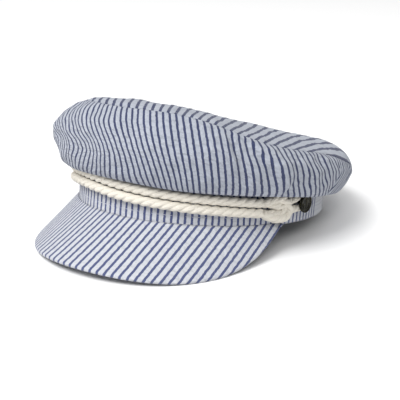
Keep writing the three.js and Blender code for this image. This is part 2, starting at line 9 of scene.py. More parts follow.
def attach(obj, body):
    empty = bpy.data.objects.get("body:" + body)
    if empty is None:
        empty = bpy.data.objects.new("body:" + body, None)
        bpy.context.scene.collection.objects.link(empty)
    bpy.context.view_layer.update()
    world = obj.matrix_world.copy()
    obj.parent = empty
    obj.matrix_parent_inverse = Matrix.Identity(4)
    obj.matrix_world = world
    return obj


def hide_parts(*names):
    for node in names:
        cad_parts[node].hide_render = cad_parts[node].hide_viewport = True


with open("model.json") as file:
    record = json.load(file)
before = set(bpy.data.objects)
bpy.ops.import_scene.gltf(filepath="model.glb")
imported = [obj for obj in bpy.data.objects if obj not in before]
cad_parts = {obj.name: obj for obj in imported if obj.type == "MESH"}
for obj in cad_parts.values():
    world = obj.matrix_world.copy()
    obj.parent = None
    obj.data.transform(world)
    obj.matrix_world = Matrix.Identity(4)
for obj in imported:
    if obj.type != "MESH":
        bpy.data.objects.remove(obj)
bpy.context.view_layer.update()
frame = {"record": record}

# A skipper cap of striped seersucker on a pale floor. The pieces are made in the cap's own frame,
# in millimetres and degrees: z = 0 is the seam of band and peak, the band's oval is level, and an
# angle runs round it from 0 at the front to +90 at the wearer's left. A place on the cap is an
# angle, a distance out from the band and a height. to_row() then sets the cap down on the floor.

# Sizes, as in the CAD source
BAND_LENGTH = 202.0
BAND_WIDTH = 167.0
BAND_HEIGHT = 30.0
BAND_LAP = 1.2  # below the seam of the peak
CLOTH = 2.0  # wall of band and crown
GAP = 0.3  # clearance between neighbouring pieces
CROWN_RISE = 73.0
OVERHANG = 22.0
DOME = 11.5
PUFF_POWER = 6  # the higher, the closer to its seam the top panel puffs up
SIDE_SEAM = 94.0
# The peak's reach, sweep, slopes, turn and fall were fitted to points traced in the photo
PEAK_REACH = 47.5
PEAK_BOARD = 3.0
PEAK_ROOT_CUT = 1.3  # height of the peak's upright root, as a multiple of its board
PEAK_SWEEP = 75.6
PEAK_SLOPE = 39.0
PEAK_SLOPE_ENDS = 66.0
PEAK_END_WIDTH = 2.6
PEAK_TURN = 0.7275  # how far the peak's rules turn outwards, as a share of their angle
PEAK_FALL = 3.45  # power by which the reach falls off towards the ends
PEAK_FALL_ROUND = 1.14  # power that rounds the fall off
PEAK_TRIM = 0.985  # share of the sweep that the peak fills
PEAK_BLUNT = 0.95  # share of the sweep where its blunt ends begin
ROPE = 6.5
ROPE_LAY = 19.0
ROPE_ROOM = 3.0
KNOT_ANGLE = 69.5
KNOT_LENGTH = 24.0
KNOT_HEIGHT = 20.0
BUTTON_ANGLE = 84.0
BUTTON_HEIGHT = 13.0
BUTTON_DIAMETER = 13.0
BUTTON_THICKNESS = 2.2
SHANK_DIAMETER = 2.4
LOOP_ROPE = 4.4

# Cloth
STRIPE_PITCH = 4.45  # a blue and a white stripe together
BLUE_CORE = 0.15  # half of a blue stripe in full tone, as a share of the pitch
BLUE_EDGE = 0.215  # and where the blue has faded out
THREAD_PITCH = 0.55
BAND_PLAIN = 101.0  # angle behind which the band has no stripes
STITCH_LENGTH = 2.6
STITCH_SPACE = 1.1
STITCH_THREAD = 0.36
STITCH_LIFT = 0.05  # middle of the thread out from the band
STITCH_HEIGHT = 5.0  # the band's stitched line above the seam of the peak

HALF_LENGTH = BAND_LENGTH / 2
HALF_WIDTH = BAND_WIDTH / 2
BAND_TOP = BAND_HEIGHT + GAP
LIP_OUT = ROPE + ROPE_ROOM
MM = 0.001
AROUND = np.arange(0, 360, 0.75)  # angles of the pieces that go all round


def table(names, rows):
    """A table of numbers as one array for each named column."""
    return dict(zip(names.split(), np.array(rows, float).T))


# Sections of the crown's side, all round, in shares of the sizes above. Most shares are rounded from
# a least-squares fit to points traced in the photo, and some of them were changed.
SECTIONS = table(
    "angle lip lip_out belly_out belly_up ridge_out ridge full puff",
    [
        (-180, 0.42, 1.0, 0.90, 0.70, 0.60, 0.42, 0.50, 0.10),
        (-150, 0.43, 1.0, 0.94, 0.70, 0.62, 0.45, 0.50, 0.00),
        (-120, 0.48, 1.1, 1.00, 0.68, 0.64, 0.52, 0.50, 0.00),
        (-90, 0.59, 1.2, 1.00, 0.62, 0.56, 0.63, 0.50, 0.00),
        (-60, 0.70, 1.1, 0.98, 0.57, 0.30, 0.69, 0.60, 0.00),
        (-30, 0.77, 1.0, 1.00, 0.56, 0.20, 0.94, 0.60, 0.05),
        (0, 0.83, 1.0, 0.96, 0.50, 0.40, 0.98, 0.45, 0.22),
        (30, 0.76, 1.0, 0.98, 0.53, 0.50, 0.96, 0.50, 0.08),
        (60, 0.71, 1.1, 0.98, 0.57, 0.62, 0.76, 0.50, 0.00),
        (90, 0.59, 1.2, 0.92, 0.62, 0.61, 0.64, 0.40, 0.12),
        (120, 0.49, 1.1, 0.83, 0.65, 0.82, 0.46, 0.45, 0.60),
        (150, 0.44, 1.0, 0.86, 0.68, 0.74, 0.45, 0.50, 0.25),
        (180, 0.42, 1.0, 0.90, 0.70, 0.60, 0.42, 0.50, 0.10),
    ],
)

# Folds of the crown's side, each along a line between two places. A place is an angle and a share
# of the way from the band's top round the lip to the ridge. width and depth are shares of OVERHANG.
FOLDS = table(
    "angle along to_angle to_along width depth",
    [
        (-62, 0.54, 16, 0.78, 0.28, -0.10),
        (42, 0.97, 51, 0.58, 0.22, -0.09),
        (47, 0.95, 62, 0.62, 0.24, -0.10),
        (54, 0.95, 69, 0.62, 0.22, 0.08),
        (66, 0.58, 78, 0.60, 0.22, -0.10),
        (79, 0.92, 86, 0.62, 0.26, -0.08),
        (104, 0.94, 116, 0.60, 0.32, -0.08),
        (150, 0.66, 196, 0.70, 0.30, -0.08),
        (-118, 0.92, -106, 0.58, 0.32, -0.09),
        (-72, 0.95, -62, 0.60, 0.28, -0.08),
    ],
)

# Sharp creases and small puckers in the cloth, written in the same way
CREASES = table(
    "angle along to_angle to_along width depth",
    [
        (50, 1.03, 57.5, 0.73, 0.055, 0.06),
        (53, 0.90, 68.5, 0.56, 0.07, 0.06),
        (40.5, 0.99, 46, 0.70, 0.055, 0.04),
        (43, 0.90, 50, 0.58, 0.07, -0.04),
        (70, 0.86, 77, 0.62, 0.08, 0.045),
        (66, 0.78, 72, 0.62, 0.09, -0.05),
        (-24, 0.80, -4, 0.72, 0.10, -0.06),
        (-10, 0.86, 8, 0.80, 0.12, 0.05),
        (-46, 0.74, -26, 0.66, 0.11, -0.05),
        (-34, 0.58, -14, 0.62, 0.12, 0.05),
        (20, 0.96, 23, 0.74, 0.10, -0.03),
        (-60, 0.90, -40, 0.82, 0.12, -0.05),
        (108, 0.93, 113, 0.72, 0.09, 0.05),
        (-100, 0.92, -92, 0.64, 0.09, 0.05),
        (168, 0.80, 186, 0.68, 0.10, -0.05),
        (214, 0.86, 226, 0.64, 0.10, -0.05),
    ],
)

# The cloth is never quite smooth: low waves that cross, with their lengths in mm, their turn from
# upright, and their height
UNEVEN = table(
    "length turn height",
    [(31, 12, 0.26), (23, -35, 0.2), (17, 58, 0.16), (13, -8, 0.14), (9.5, 80, 0.1), (7, 20, 0.07)],
)

# Stripes of the crown's front panel: how far apart they stand along the ridge seam, in mm, and how
# far they drift towards the back for each mm down, at five depths between ridge and lip. The upper
# slopes from -17 to 16 degrees were worked out from stripes traced in the photo.
FRONT_STRIPES = table(
    "angle spacing under_ridge upper middle lower at_lip",
    [
        (-94, 4.6, 0.20, 0.30, 0.30, 0.10, 0.00),
        (-40, 4.2, 0.30, 0.65, 0.95, -0.35, -0.60),
        (-17, 4.0, 0.35, 0.75, 1.10, -0.50, -0.70),
        (-9, 4.0, 0.40, 0.65, 1.15, -0.45, -0.65),
        (-3, 4.0, 0.38, 0.70, 0.90, -0.30, -0.50),
        (1, 4.0, 0.36, 0.62, 0.68, -0.18, -0.30),
        (6, 4.0, 0.37, 0.56, 0.50, 0.02, -0.12),
        (11, 4.0, 0.27, 0.60, 0.44, 0.18, 0.02),
        (16, 4.1, 0.27, 0.43, 0.45, 0.30, 0.14),
        (25, 4.2, 0.22, 0.28, 0.32, 0.32, 0.22),
        (34, 4.5, 0.18, 0.22, 0.24, 0.24, 0.20),
        (50, 4.8, 0.10, 0.24, 0.32, 0.32, 0.24),
        (66, 4.8, 0.10, 0.50, 0.55, 0.52, 0.42),
        (94, 4.8, 0.10, 0.60, 0.85, 1.00, 1.00),
    ],
)
BACK_STRIPES = table(
    "angle spacing under_ridge upper middle lower at_lip",
    [
        (94, 4.2, -0.3, -0.5, -0.5, -0.5, -0.3),
        (125, 4.0, -0.3, -0.4, -0.4, -0.4, -0.3),
        (180, 4.8, -0.2, -0.3, -0.3, -0.3, -0.2),
        (266, 4.8, -0.2, -0.3, -0.3, -0.3, -0.2),
    ],
)
STRIPE_DEPTHS = ((0.15, "under_ridge"), (0.35, "upper"), (0.52, "middle"), (0.68, "lower"), (0.88, "at_lip"))
LIP_ALONG = 3 / 7  # share of the way from the band's top to the ridge where the lip is

# Height of the line where the two rope runs touch, as a share of BAND_HEIGHT. Four rows, at 0, 28,
# 47 and 66 degrees, were worked out from points traced in the photo.
ROPE_LINE = table(
    "angle height",
    [(-66, 0.385), (-48, 0.52), (-30, 0.62), (-14, 0.63), (0, 0.585), (28, 0.5), (47, 0.45), (66, 0.385)],
)


def column(rows, name, angle, ring=False):
    """A smooth value between the rows of a table. A ring's last row is its first row again."""
    at, value = rows["angle"], rows[name]
    span = at[-1] - at[0]
    angle = np.asarray(angle, float)
    a = at[0] + np.mod(angle - at[0], span) if ring else np.clip(angle, at[0], at[-1])
    slope = np.gradient(value)
    slope[1:-1] = (value[2:] - value[:-2]) / (at[2:] - at[:-2])
    if ring:
        slope[0] = slope[-1] = (value[1] - value[-2]) / (at[1] - at[-2] + span)
    else:
        slope[0] = (value[1] - value[0]) / (at[1] - at[0])
        slope[-1] = (value[-1] - value[-2]) / (at[-1] - at[-2])
    k = np.clip(np.searchsorted(at, a, side="right") - 1, 0, len(at) - 2)
    step = at[k + 1] - at[k]
    t = (a - at[k]) / step
    keep = 2 * t**3 - 3 * t**2 + 1
    return (
        keep * value[k]
        + (t**3 - 2 * t**2 + t) * step * slope[k]
        + (1 - keep) * value[k + 1]
        + (t**3 - t**2) * step * slope[k + 1]
    )


def length_of(v):
    return np.linalg.norm(v, axis=-1, keepdims=True)


def unit(v):
    return v / np.maximum(length_of(v), 1e-12)


def outward(angle):
    """The band's outward direction at an angle."""
    a = np.radians(angle)
    return unit(np.stack([np.sin(a) / HALF_WIDTH, -np.cos(a) / HALF_LENGTH, 0 * a], -1))


def place(angle, out, height):
    """A place on the cap as a point."""
    angle, out, height = np.broadcast_arrays(np.asarray(angle, float), out, height)
    a = np.radians(angle)
    on_band = np.stack([HALF_WIDTH * np.sin(a), -HALF_LENGTH * np.cos(a), height], -1)
    return on_band + outward(angle) * out[..., None]


def along_points(points, share):
    """A smooth curve through points (angles x points x 2), at shares of the way (angles x shares)."""
    last = points.shape[1] - 1
    q = np.clip(share, 0, 1) * last
    i = np.minimum(q.astype(int), last - 1)
    t = (q - i)[..., None]
    rows = np.arange(len(points))[:, None]
    p0, p1, p2, p3 = (points[rows, np.clip(i + k, 0, last)] for k in (-1, 0, 1, 2))
    v1, v2 = (p2 - p0) / 2, (p3 - p1) / 2
    return (2 * p1 - 2 * p2 + v1 + v2) * t**3 + (-3 * p1 + 3 * p2 - 2 * v1 - v2) * t**2 + v1 * t + p1


SHOULDER = 0.62  # where the side bends in: its share of the way up to the ridge, and out from it


def section_points(angle):
    """The section of the crown's side at each angle: points of distance out and height."""
    at = lambda name: column(SECTIONS, name, angle, ring=True)
    lip = np.stack([LIP_OUT * at("lip_out"), BAND_HEIGHT * at("lip")], -1)
    ridge = np.stack([OVERHANG * at("ridge_out"), CROWN_RISE * at("ridge")], -1)
    belly = np.stack([OVERHANG * at("belly_out"), lip[:, 1] + (ridge - lip)[:, 1] * at("belly_up")], -1)
    fixed = lambda out, height: np.stack([0 * angle + out, 0 * angle + height], -1)
    mix = lambda a, b, x, z: np.stack([a[:, 0] + (b - a)[:, 0] * x, a[:, 1] + (b - a)[:, 1] * z], -1)
    full = at("full")
    shoulder_out = ridge[:, 0] + (belly - ridge)[:, 0] * SHOULDER
    shoulder_up = belly[:, 1] + (ridge - belly)[:, 1] * SHOULDER
    points = [
        fixed(-CLOTH, BAND_TOP),
        fixed(CLOTH * 0.4, BAND_TOP),
        np.stack([lip[:, 0] / 2, (BAND_TOP + lip[:, 1]) / 2], -1),
        lip,
        mix(lip, belly, 0.45 + 0.25 * full, 0.42 - 0.22 * full),
        belly,
        np.stack([shoulder_out, shoulder_up], -1),
        ridge,
    ]
    return np.stack(points, 1)


def smooth_side(angle, along):
    """The crown's side without its folds, as a grid of angles by shares of the way to the ridge."""
    p = along_points(section_points(angle), np.broadcast_to(along, (len(angle), len(along))))
    return place(angle[:, None], p[..., 0], p[..., 1])


def ridge_seam(angle):
    out = OVERHANG * column(SECTIONS, "ridge_out", angle, ring=True)
    return place(angle, out, CROWN_RISE * column(SECTIONS, "ridge", angle, ring=True))


def fold_depth(folds, angle, along):
    """How far some folds move the cloth out. A fold fades out towards both of its ends."""
    p = section_points(angle)
    curve = along_points(p, np.broadcast_to(np.linspace(0, 1, 60), (len(angle), 60)))
    length = length_of(np.diff(curve, axis=1)).sum((1, 2))[:, None]
    per_degree = math.radians((HALF_WIDTH + HALF_LENGTH) / 2 + OVERHANG)
    depth = np.zeros((len(angle), len(along)))
    for a0, s0, a1, s1, width, height in zip(*folds.values()):
        turned = np.where((a1 > 180) & (angle < 0), angle + 360, angle)[:, None]
        run_x, run_y = (a1 - a0) * per_degree, (s1 - s0) * length
        here_x, here_y = (turned - a0) * per_degree, (along[None] - s0) * length
        t = np.clip((here_x * run_x + here_y * run_y) / (run_x**2 + run_y**2), 0, 1)
        distance = np.hypot(here_x - run_x * t, here_y - run_y * t)
        fade = 1 - (2 * t - 1) ** 4
        depth += OVERHANG * height * fade * np.exp(-((distance / (OVERHANG * width)) ** 2))
    return depth


RING = np.arange(0, 360, 5.0)
ridge_ring = ridge_seam(RING)
ridge_centre = np.array([*(ridge_ring.max(0) + ridge_ring.min(0))[:2] / 2, ridge_ring[:, 2].mean()])
lean_back = 2 * (ridge_ring[:, 2] * np.cos(np.radians(RING))).mean()
lean_side = 2 * (ridge_ring[:, 2] * np.sin(np.radians(RING))).mean()


def top_surface(angle, share):
    """The top panel: level rings that rise from the ridge seam to the dome."""
    seam = ridge_seam(angle)[:, None]
    a = np.radians(angle)[:, None]
    lean = lean_back * np.cos(a) + lean_side * np.sin(a)
    waviness = seam[..., 2] - ridge_centre[2] - lean
    s = share[None]
    fullest = PUFF_POWER / (PUFF_POWER + 1)
    puff = s**PUFF_POWER * (1 - s) / (fullest**PUFF_POWER * (1 - fullest))
    puff = puff * column(SECTIONS, "puff", angle, ring=True)[:, None]
    z = ridge_centre[2] + lean * s + waviness * s**2 + DOME * (1 - s**3 + puff)
    xy = ridge_centre[:2] + (seam[..., :2] - ridge_centre[:2]) * s[..., None]
    return np.concatenate([xy, z[..., None]], -1)


def normals(surface, u, v):
    du = surface(u + 0.5, v) - surface(u - 0.5, v)
    dv = surface(u, np.minimum(v + 0.01, 1)) - surface(u, np.maximum(v - 0.01, 0))
    return unit(np.cross(du, dv))


def ridge_mitre(angle):
    """At the ridge both walls end on one mitre plane: its way inwards, and its way to the top panel."""
    end = np.array([1.0])
    total = normals(smooth_side, angle, end)[:, 0] - normals(top_surface, angle, end)[:, 0]
    inwards = total * (-2 * CLOTH) / (total**2).sum(-1, keepdims=True)
    along = ridge_seam(angle + 1) - ridge_seam(angle - 1)
    return inwards, unit(np.cross(along, inwards))


# How the finished cap lies on the floor, from the flat of the band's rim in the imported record
rim = frame["record"]["mounts"][0]
tip = math.atan2(-rim["axis"][1], -rim["axis"][2])


def tipped(points):
    """Points of the cap's frame turned back by its tip."""
    x, y, z = np.moveaxis(np.asarray(points, float), -1, 0)
    return np.stack([x, y * math.cos(tip) + z * math.sin(tip), z * math.cos(tip) - y * math.sin(tip)], -1)


set_down = np.array(rim["pos_m"]) / MM - tipped([0, HALF_LENGTH - CLOTH / 2, -BAND_LAP])


def to_row(points):
    """Points of the cap's frame in the row frame, in metres."""
    return (tipped(points) + set_down) * MM


# Meshes


def mesh_piece(name, points, faces, material, uv=None, uv_index=None):
    """A smooth mesh. uv has a row for each entry of uv_index, which follows the faces' corners."""
    mesh = bpy.data.meshes.new(name)
    placed = to_row(points)
    placed[:, 2] = np.maximum(placed[:, 2], 0)  # what touches the floor is pressed flat on it
    mesh.from_pydata(placed.tolist(), [], [tuple(f) for f in faces])
    mesh.polygons.foreach_set("use_smooth", [True] * len(mesh.polygons))
    if uv is not None:
        layer = mesh.uv_layers.new(name="cloth")
        layer.data.foreach_set("uv", (np.asarray(uv, float)[uv_index] * MM).astype(np.float32).ravel())
    mesh.materials.append(material)
    mesh.update()
    obj = bpy.data.objects.new(name, mesh)
    bpy.context.scene.collection.objects.link(obj)
    return obj


def grid_faces(columns, rows, ring):
    """Quads of a grid, and the same quads on a grid whose seam column is there twice."""
    i, j = np.meshgrid(np.arange(columns if ring else columns - 1), np.arange(rows - 1), indexing="ij")
    i, j = i.ravel(), j.ravel()
    corners = [(i, j), (i + 1, j), (i + 1, j + 1), (i, j + 1)]
    faces = np.stack([(a % columns) * rows + b for a, b in corners], -1)
    open_faces = np.stack([a * rows + b for a, b in corners], -1)
    return faces, open_faces


def wall_piece(name, outer, inner, uv, material, ring=False):
    """A closed wall between two grids of points. uv has one column more than a ring has."""
    columns, rows = outer.shape[:2]
    faces, uv_faces = grid_faces(columns, rows, ring)
    below = columns * rows
    parts = [faces, faces[:, ::-1] + below]
    uv_parts = [uv_faces, uv_faces[:, ::-1]]
    i = np.arange(columns if ring else columns - 1)
    n = (i + 1) % columns
    for row, flip in ((0, False), (rows - 1, True)):
        a, b = i * rows + row, n * rows + row
        c, d = i * rows + row, (i + 1) * rows + row
        edge = np.stack([a, a + below, b + below, b], -1)
        uv_edge = np.stack([c, c, d, d], -1)
        parts.append(edge[:, ::-1] if flip else edge)
        uv_parts.append(uv_edge[:, ::-1] if flip else uv_edge)
    if not ring:
        j = np.arange(rows - 1)
        for start, flip in ((0, True), ((columns - 1) * rows, False)):
            a = start + j
            edge = np.stack([a, a + below, a + below + 1, a + 1], -1)
            uv_edge = np.stack([a, a, a + 1, a + 1], -1)
            parts.append(edge[:, ::-1] if flip else edge)
            uv_parts.append(uv_edge[:, ::-1] if flip else uv_edge)
    points = np.concatenate([outer.reshape(-1, 3), inner.reshape(-1, 3)])
    uv_index = np.concatenate(uv_parts).ravel()
    return mesh_piece(name, points, np.concatenate(parts), material, uv.reshape(-1, 2), uv_index)


def steps_to(line):
    """Length run along a line of points, from its start."""
    return np.concatenate([[0], np.cumsum(length_of(np.diff(line, axis=0))[:, 0])])


def rings_round(centre, side, up, radius, sides):
    """Rings of points round a line of centres, in the plane of two directions at each centre."""
    turn = np.linspace(0, 2 * math.pi, sides, endpoint=False)[None, :, None]
    ring = side[:, None] * np.sin(turn) + up[:, None] * np.cos(turn)
    return centre[:, None] + ring * np.reshape(radius, (-1, 1, 1))


def tube_piece(name, tubes, material):
    """One mesh of closed tubes. A tube is its rings, the girth and the length run at each ring."""
    points, faces, uv, uv_index, base, uv_base = [], [], [], [], 0, 0
    for rings, girth, run in tubes:
        columns, sides = rings.shape[:2]
        wide = sides + 1
        i, k = np.meshgrid(np.arange(columns - 1), np.arange(sides), indexing="ij")
        i, k = i.ravel(), k.ravel()
        m = (k + 1) % sides
        body = np.stack([i * sides + k, i * sides + m, (i + 1) * sides + m, (i + 1) * sides + k], -1)
        uv_body = np.stack([i * wide + k, i * wide + k + 1, (i + 1) * wide + k + 1, (i + 1) * wide + k], -1)
        faces += [tuple(f) for f in body + base]
        uv_index.append((uv_body + uv_base).ravel())
        for row, order in ((0, np.arange(sides)[::-1]), (columns - 1, np.arange(sides))):
            faces.append(tuple(order + row * sides + base))
            uv_index.append(order + row * wide + uv_base)
        round_length = np.linspace(0, 1, wide)[None] * np.reshape(girth, (-1, 1))
        uv.append(np.stack(np.broadcast_arrays(round_length, run[:, None]), -1).reshape(-1, 2))
        points.append(rings.reshape(-1, 3))
        base += columns * sides
        uv_base += columns * wide
    uv, uv_index = np.concatenate(uv), np.concatenate(uv_index)
    return mesh_piece(name, np.concatenate(points), faces, material, uv, uv_index)


# Materials


def linear(hex_colour):
    """A colour written as sRGB hex, in linear light."""
    parts = [int(hex_colour[i : i + 2], 16) / 255 for i in (1, 3, 5)]
    return [c / 12.92 if c <= 0.04045 else ((c + 0.055) / 1.055) ** 2.4 for c in parts] + [1.0]


def add(tree, kind, links=(), **settings):
    """A node with its settings and the links into it. A setting is a property or an input's value."""
    node = tree.nodes.new("ShaderNode" + kind)
    for key, value in settings.items():
        if hasattr(node, key):
            setattr(node, key, value)
    for key, value in settings.items():
        if not hasattr(node, key):
            node.inputs[int(key[2:]) if key.startswith("in") else key].default_value = value
    for key, source in dict(links).items():
        tree.links.new(source, node.inputs[key])
    return node


def new_material(name):
    material = bpy.data.materials.new(name)
    material.use_nodes = True
    tree = material.node_tree
    tree.nodes.clear()
    shader = add(tree, "BsdfPrincipled")
    out = add(tree, "OutputMaterial")
    tree.links.new(shader.outputs["BSDF"], out.inputs["Surface"])
    return material, tree, shader


def maths(tree, operation, *values, clamp=False):
    """One step of arithmetic on numbers or on other nodes' outputs."""
    node = tree.nodes.new("ShaderNodeMath")
    node.operation = operation
    node.use_clamp = clamp
    for socket, value in zip(node.inputs, values):
        if isinstance(value, (int, float)):
            socket.default_value = value
        else:
            tree.links.new(value, socket)
    return node.outputs[0]


def times(tree, first, second):
    return maths(tree, "MULTIPLY", first, second)


def noise_over(tree, x, y, x_scale, y_scale, **settings):
    """Noise over a cloth or rope, with a scale of its own each way."""
    at = add(tree, "CombineXYZ", {0: times(tree, x, x_scale), 1: times(tree, y, y_scale)})
    return add(tree, "TexNoise", {0: at.outputs[0]}, Scale=1.0, **settings).outputs[0]


def two_tones(tree, factor, first, second):
    """A mix of two colours written as hex."""
    mix = add(tree, "Mix", {"Factor": factor}, data_type="RGBA")
    mix.inputs[6].default_value = linear(first)
    mix.inputs[7].default_value = linear(second)
    return mix.outputs[2]


def striped_seersucker(name, blues, hollow_shaded_whites, pucker_height):
    """Blue and white striped cotton. The stripes follow the cloth's own lengths, so they turn with
    each panel, and the white ones are drawn up into small puckers between the flat blue ones.
    Where the cloth hangs free it puckers more, and the colours given for it are darker: painted shade of its
    hollows."""
    material, tree, shader = new_material(name)
    cloth = add(tree, "UVMap", uv_map="cloth").outputs[0]
    split = add(tree, "SeparateXYZ", {0: cloth})
    across = times(tree, split.outputs[0], 1 / MM)
    down = times(tree, split.outputs[1], 1 / MM)
    # edges of the stripes wander a little, as dyed threads do
    wander = noise_over(tree, across, down, 0.12, 0.35, Detail=2.0)
    wandered = times(tree, maths(tree, "SUBTRACT", wander, 0.5), 0.9)
    moved = maths(tree, "ADD", across, wandered)
    phase = maths(tree, "FRACT", maths(tree, "DIVIDE", moved, STRIPE_PITCH))
    off_middle = maths(tree, "ABSOLUTE", maths(tree, "SUBTRACT", phase, 0.5))
    edges = dict(in1=BLUE_CORE, in2=BLUE_EDGE, in3=1.0, in4=0.0)
    blue = add(tree, "MapRange", {0: off_middle}, interpolation_type="SMOOTHSTEP", **edges)
    # puckers: short waves along the stripe, deeper on the white stripes; they also set the painted shade of
    # the whites
    pucker = noise_over(tree, across, down, 0.2, 0.42, Detail=2.5, Roughness=0.55)
    weight = add(tree, "MapRange", {0: blue.outputs[0]}, in1=0.0, in2=1.0, in3=1.0, in4=0.35)
    height = times(tree, maths(tree, "SUBTRACT", pucker, 0.5), weight.outputs[0])
    # threads: a fine plain weave
    warp = maths(tree, "SINE", times(tree, across, 2 * math.pi / THREAD_PITCH))
    weft = maths(tree, "SINE", times(tree, down, 2 * math.pi / THREAD_PITCH))
    weave = times(tree, times(tree, warp, weft), 0.02)
    relief = maths(tree, "ADD", height, weave)
    bump = add(tree, "Bump", {"Height": relief}, Strength=1.0, Distance=pucker_height * MM)
    # painted shade: the whites are darker in the puckers' hollows; the dye is uneven
    blue_tone = two_tones(tree, noise_over(tree, across, down, 2.2, 0.9, Detail=2.0), *blues)
    white_with_hollow_shade = two_tones(tree, pucker, *hollow_shaded_whites)
    stripes = {"Factor": blue.outputs[0], 6: white_with_hollow_shade, 7: blue_tone}
    mixed = add(tree, "Mix", stripes, data_type="RGBA")
    tree.links.new(mixed.outputs[2], shader.inputs["Base Color"])
    tree.links.new(bump.outputs[0], shader.inputs["Normal"])
    shader.inputs["Roughness"].default_value = 0.9
    shader.inputs["Specular IOR Level"].default_value = 0.25
    shader.inputs["Sheen Weight"].default_value = 0.15
    return material


def cotton_rope():
    """Undyed cotton: three strands of fine yarns, matt, cream, darker where the strands meet."""
    material, tree, shader = new_material("undyed_cotton_rope")
    cloth = add(tree, "UVMap", uv_map="cloth").outputs[0]
    split = add(tree, "SeparateXYZ", {0: cloth})
    around = times(tree, split.outputs[0], 1 / MM)
    along = times(tree, split.outputs[1], 1 / MM)
    # yarns turn the other way than the strands
    turned = maths(tree, "ADD", times(tree, around, 1.1), times(tree, along, 0.55))
    yarn = maths(tree, "ABSOLUTE", maths(tree, "SINE", times(tree, turned, 2.6)))
    fuzz = noise_over(tree, around, along, 2.5, 1.2, Detail=3.0)
    relief = maths(tree, "ADD", times(tree, yarn, 0.35), times(tree, fuzz, 0.6))
    bump = add(tree, "Bump", {"Height": relief}, Strength=0.8, Distance=0.0005)
    tree.links.new(two_tones(tree, fuzz, "#c3bdb0", "#dfdad0"), shader.inputs["Base Color"])
    tree.links.new(bump.outputs[0], shader.inputs["Normal"])
    shader.inputs["Roughness"].default_value = 0.95
    shader.inputs["Specular IOR Level"].default_value = 0.2
    shader.inputs["Sheen Weight"].default_value = 0.2
    return material


def antique_brass():
    """Cast brass gone almost black, worn lighter in specks on its relief."""
    material, tree, shader = new_material("antique_brass")
    at = add(tree, "TexCoord").outputs["Object"]
    wear = add(tree, "TexNoise", {0: at}, Scale=900.0, Detail=3.0)
    worn = add(tree, "MapRange", {0: wear.outputs[0]}, in1=0.5, in2=0.7, in3=0.0, in4=1.0)
    tone = two_tones(tree, worn.outputs[0], "#141410", "#464330")
    bump = add(tree, "Bump", {"Height": wear.outputs[0]}, Strength=0.4, Distance=0.0002)
    tree.links.new(tone, shader.inputs["Base Color"])
    tree.links.new(bump.outputs[0], shader.inputs["Normal"])
    shader.inputs["Metallic"].default_value = 0.8
    shader.inputs["Roughness"].default_value = 0.45
    return material


def sewing_thread():
    """White cotton thread, a little glossier than the cloth."""
    material, tree, shader = new_material("white_sewing_thread")
    at = add(tree, "TexCoord").outputs["Object"]
    ply = add(tree, "TexNoise", {0: at}, Scale=2500.0, Detail=1.0)
    tone = two_tones(tree, ply.outputs[0], "#9da1b4", "#c6c8d0")
    tree.links.new(tone, shader.inputs["Base Color"])
    shader.inputs["Roughness"].default_value = 0.6
    return material


thread = sewing_thread()
# The crown's copy of the cloth has darker whites and blues than the peak's and band's: painted shade of its
# deeper puckers.
seersucker_with_painted_shade = striped_seersucker(
    "puckered_cotton_seersucker", ("#232945", "#3f4665"), ("#898f9c", "#b5b9c2"), pucker_height=3.0
)
stretched = striped_seersucker(
    "stretched_cotton_seersucker", ("#343b5d", "#525a7e"), ("#a2a5ae", "#c4c6ca"), pucker_height=1.8
)
rope_cotton = cotton_rope()
brass = antique_brass()


# Crown

GATHER = 0.22  # height of the gathers at the crown's seams
GATHER_REACH = 9.0  # and their length
SEAM_CALM = 3.0  # length over which folds and waves die out at the ridge seam
SEAM_SINK = 0.3  # how deep the last row is drawn into it
LIP_FADE = 0.1  # share of the way over which the waves set in beyond the lip

# Stripes of the top panel. The first five values are rounded from a least-squares fit to stripes
# traced in the photo.
TOP_GRAIN = 32.4  # turn of the top panel's stripes from fore-aft
TOP_EASE = 0.84  # the panel is eased into its seam, so the stripes stand wider
TOP_DRAWN = 0.0042  # how it is drawn round towards the wearer's left
TOP_TAKEN_IN = 0.003
TOP_TURNED = 0.00085  # and how it turns back towards fore-aft behind
TOP_DRAWN_FROM = -85.0  # fore-aft place where the drawing begins
TOP_LEFT_FROM = 30.0  # side place where it begins
TOP_BACK_FROM = 68.0  # fore-aft place where the pull on the cloth ends
TOP_PULL_EASE = 12.0  # both set in over this length
TOP_TURNED_FROM = -60.0
TOP_TURNED_EASE = 15.0


def past(value, start, ease):
    """How far a value lies beyond a start, eased in over a length."""
    return ease * np.log1p(np.exp((value - start) / ease))


def seam_groove(distance, width=2.2, depth=0.45):
    """How deep the cloth turns in near a seam, by its distance from the seam."""
    return depth * np.clip(1 - distance / width, 0, 1) ** 2


def uneven(x, y):
    """The low crossing waves of soft cloth at lengths along it, never the same twice."""
    total = 0
    for i, (length, turn, height) in enumerate(zip(*UNEVEN.values())):
        a = math.radians(turn)
        way = (x * math.cos(a) + y * math.sin(a)) / length
        total = total + height * np.sin(2 * math.pi * way + 1.7 * i + np.sin(0.9 * way + i))
    return total


def gathers(x, to_seam):
    """Small gathers that run out from a seam, where its thread has drawn the cloth up."""
    wave = np.sin(x / 1.9 + 2 * np.sin(x / 13)) + 0.6 * np.sin(x / 3.1 + 1.5 * np.sin(x / 21))
    return GATHER * wave * np.exp(-((to_seam / GATHER_REACH) ** 2))


